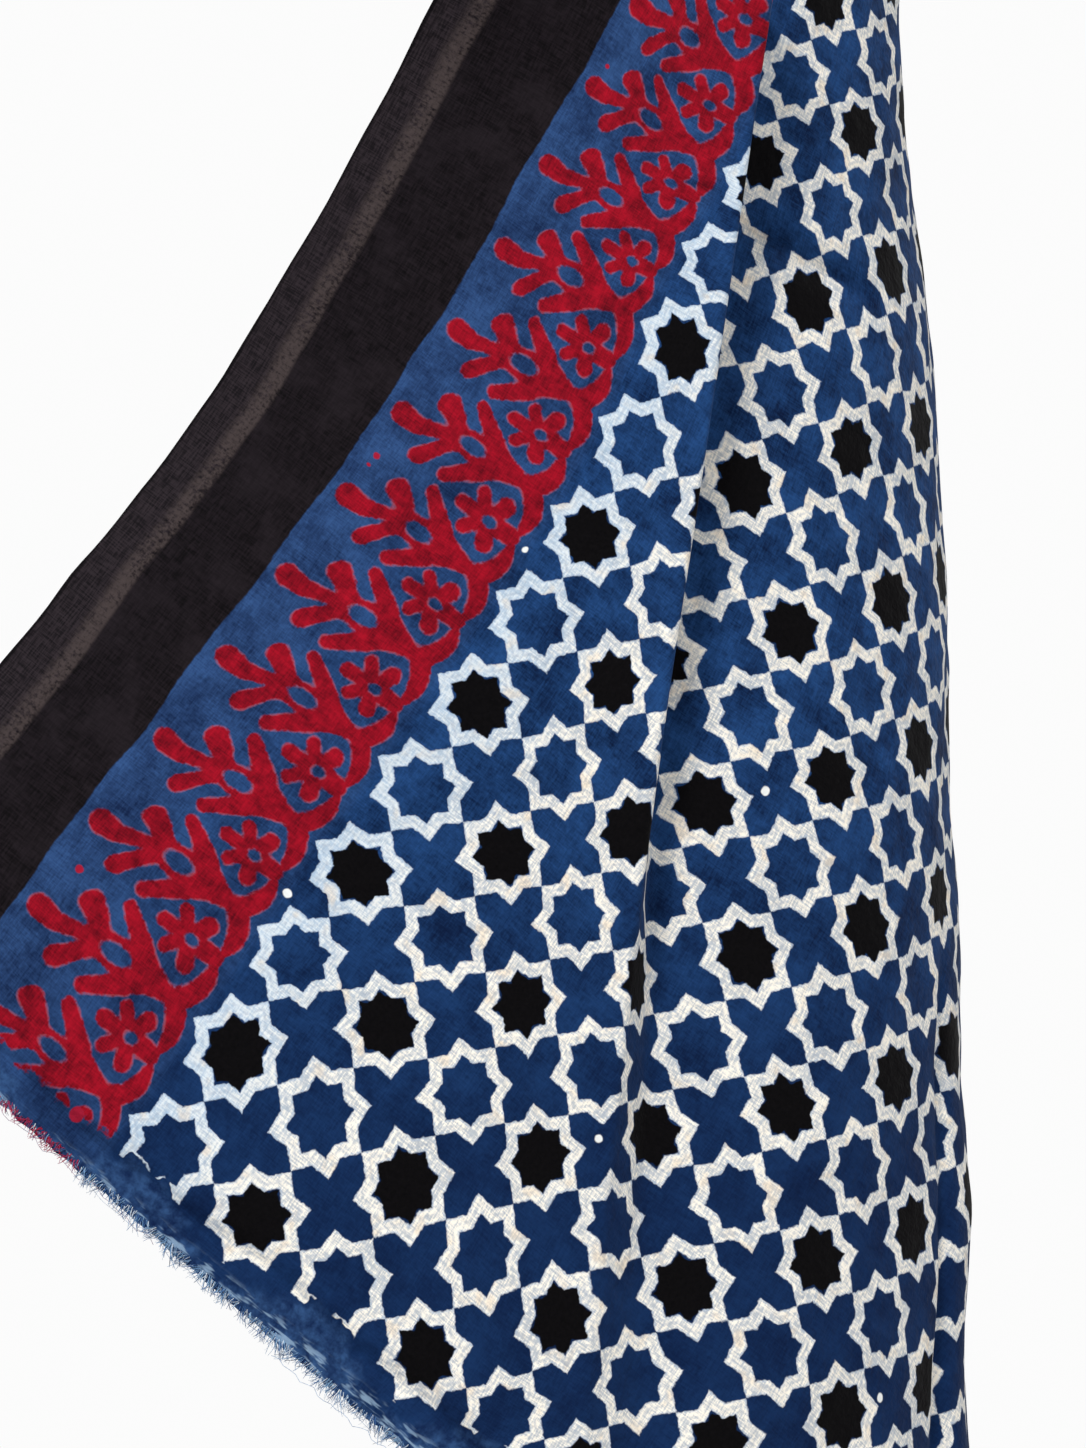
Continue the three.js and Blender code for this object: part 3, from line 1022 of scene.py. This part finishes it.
def make_fray():
    """Short threads that stand out of the raw edge, and a few loose ones that lie along it."""
    rng = np.random.default_rng(21)
    last_across = float(place_on_print(np.array([BACK_EDGE - 1.0]), np.array([FOOT - 6.0]))[0][0])
    across = np.sort(rng.uniform(SELVEDGE + FROM_SELVEDGE, last_across - FROM_CUT_EDGE, THREADS))
    down = RAW_EDGE + edge_sag(across) - rng.uniform(LEAST_INWARDS, MOST_INWARDS, THREADS)
    root, normal = edge_point(across, down)
    base = root + normal * ROOT_STAND
    inside, _ = edge_point(across, down - NEARBY)
    beside, _ = edge_point(across + NEARBY, down)
    outward = root - inside
    outward /= np.linalg.norm(outward, axis=1, keepdims=True)
    sideways = beside - root
    sideways /= np.linalg.norm(sideways, axis=1, keepdims=True)

    clump = np.clip(waves(across, across, **CLUMPS), -1.2, 1.6)
    lengths = USUAL_LENGTH + CLUMP_LENGTH * clump + rng.exponential(STRAY_LENGTH, THREADS)
    lengths = np.clip(lengths, SHORTEST_THREAD, LONGEST_THREAD)
    lean = 0.45 * waves(across, across, **LEANINGS) + rng.normal(0, 0.16, THREADS)
    lift = 0.10 + 0.22 * waves(across, across, **LIFTINGS) + rng.normal(0, 0.12, THREADS)
    shares = np.array([t["share"] for t in THREAD_TINTS])
    tints = [t["tint"] for t in THREAD_TINTS]

    points = []
    faces = []
    tones = []
    count = 0

    def keep(path, radii, tint):
        nonlocal count
        tube_points, tube_faces = tube(path, radii, THREAD_SIDES)
        points.extend(tube_points * MM)
        faces.extend(tuple(count + k for k in face) for face in tube_faces)
        tones.extend([colour(*tint)] * len(tube_points))
        count += len(tube_points)

    steps = np.linspace(0, 1, THREAD_POINTS)
    for k in range(THREADS):
        curve = rng.normal(0, SIDE_CURVE)
        rise = rng.normal(0, LIFT_CURVE)
        path = (base[k] + outward[k] * (steps * lengths[k])[:, None]
                + sideways[k] * ((steps * lean[k] + steps**2 * curve) * lengths[k])[:, None]
                + normal[k] * ((steps * lift[k] + steps**2 * rise) * lengths[k])[:, None])
        radii = rng.uniform(LEAST_RADIUS, MOST_RADIUS) * (1 - TAPER * steps)
        tint = tints[rng.choice(len(tints), p=shares)]
        if across[k] < BAND_EDGE:
            tint = BAND_TINT
        elif across[k] < BORDER_EDGE and rng.random() < BORDER_SHARE:
            tint = BORDER_TINT
        keep(path, radii, tint)

    for thread in LOOSE_THREADS:
        run = np.arange(thread["start"], thread["end"], LOOSE_STEP)
        seed = int(thread["end"] * 10)
        wander = 0.035 * waves(run, run, seed=seed, count=8, shortest=0.25, longest=1.6)
        spot, out = edge_point(run, RAW_EDGE + edge_sag(run) + thread["below"] + wander)
        stand = 0.7 + 0.5 * waves(run, run, seed=seed + 1, count=6, shortest=0.3, longest=1.4)
        keep(spot + out * stand[:, None], np.full(len(run), LOOSE_RADIUS), thread["tint"])

    mesh = bpy.data.meshes.new("fray")
    mesh.from_pydata([tuple(p) for p in points], [], faces)
    attribute = mesh.attributes.new("tone", "FLOAT_COLOR", "POINT")
    attribute.data.foreach_set("color", np.array(tones, float).ravel())
    mesh.polygons.foreach_set("use_smooth", np.ones(len(faces), bool))
    mesh.update()
    return add_to_scene("fray", mesh)


def thread_material():
    material = bpy.data.materials.new("frayed_threads")
    g = Graph(material)
    tone = g.attribute("tone", "Color")
    coordinates = g.add("ShaderNodeTexCoord")
    position = Node(g, coordinates.outputs["Object"])
    worn = g.noise(position, 900.0, 1.0, dimensions="3D")
    shade = g.over(worn.rise(0.3, 0.7) * 0.5, tone, WORN_THREAD)
    height = g.noise(position, 4000.0, 0.0, dimensions="3D")
    shader = cotton_shader(g, shade, 0.95 - worn * 0.2, height, strength=0.4, depth=0.0001)
    shader.inputs["Specular IOR Level"].default_value = 0.12
    return material


cloth = make_cloth()
cloth.data.materials.append(cloth_material("printed_cotton_face", 0))
cloth.data.materials.append(cloth_material("printed_cotton_reverse", 0.5))
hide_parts("cloth")
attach(cloth, "root")

fray = make_fray()
fray.data.materials.append(thread_material())
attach(fray, "root")


# A pale floor well below the cloth
FLOOR_HEIGHT = -0.93
FLOOR_HALF_SIDE = 3.0


def make_floor():
    mesh = bpy.data.meshes.new("floor")
    side = FLOOR_HALF_SIDE
    corners = [(-side, -side, FLOOR_HEIGHT), (side, -side, FLOOR_HEIGHT),
               (side, side, FLOOR_HEIGHT), (-side, side, FLOOR_HEIGHT)]
    mesh.from_pydata(corners, [], [(0, 1, 2, 3)])
    floor = add_to_scene("floor", mesh)
    material = bpy.data.materials.new("pale_floor")
    material.use_nodes = True
    shader = material.node_tree.nodes["Principled BSDF"]
    shader.inputs["Base Color"].default_value = (0.82, 0.82, 0.82, 1)
    shader.inputs["Roughness"].default_value = 0.9
    mesh.materials.append(material)


make_floor()


# Soft studio light
def soft_light(name, place, target, width, height, power):
    data = bpy.data.lights.new(name, "AREA")
    data.shape = "RECTANGLE"
    data.size = width
    data.size_y = height
    data.energy = power
    light = add_to_scene(name, data)
    light.location = place
    aim = Vector(target) - Vector(place)
    light.rotation_euler = aim.to_track_quat("-Z", "Y").to_euler()


soft_light("key_light", place=(-0.7, -2.7, 3.0), target=(-0.1, 0, -0.35),
           width=0.8, height=0.8, power=185)
soft_light("side_light", place=(2.6, -1.6, 0.4), target=(0, 0.05, -0.35),
           width=1.4, height=1.8, power=12)

# The studio is a near-white room, a little dimmer in front so that the lights shape the folds
world = bpy.data.worlds.new("studio")
world.use_nodes = True
room = Graph(world)
direction = room.add("ShaderNodeTexCoord")
facing = room.split(Node(room, direction.outputs["Generated"]))[1]
background = room.add("ShaderNodeBackground")
background.inputs["Color"].default_value = (1, 1, 1, 1)
room.put(background.inputs["Strength"], facing.rise(-0.2, 0.35) * 0.68 + 0.29)
world_output = room.add("ShaderNodeOutputWorld")
room.tree.links.new(background.outputs["Background"], world_output.inputs["Surface"])
bpy.context.scene.world = world
bpy.context.scene.view_settings.view_transform = "Standard"
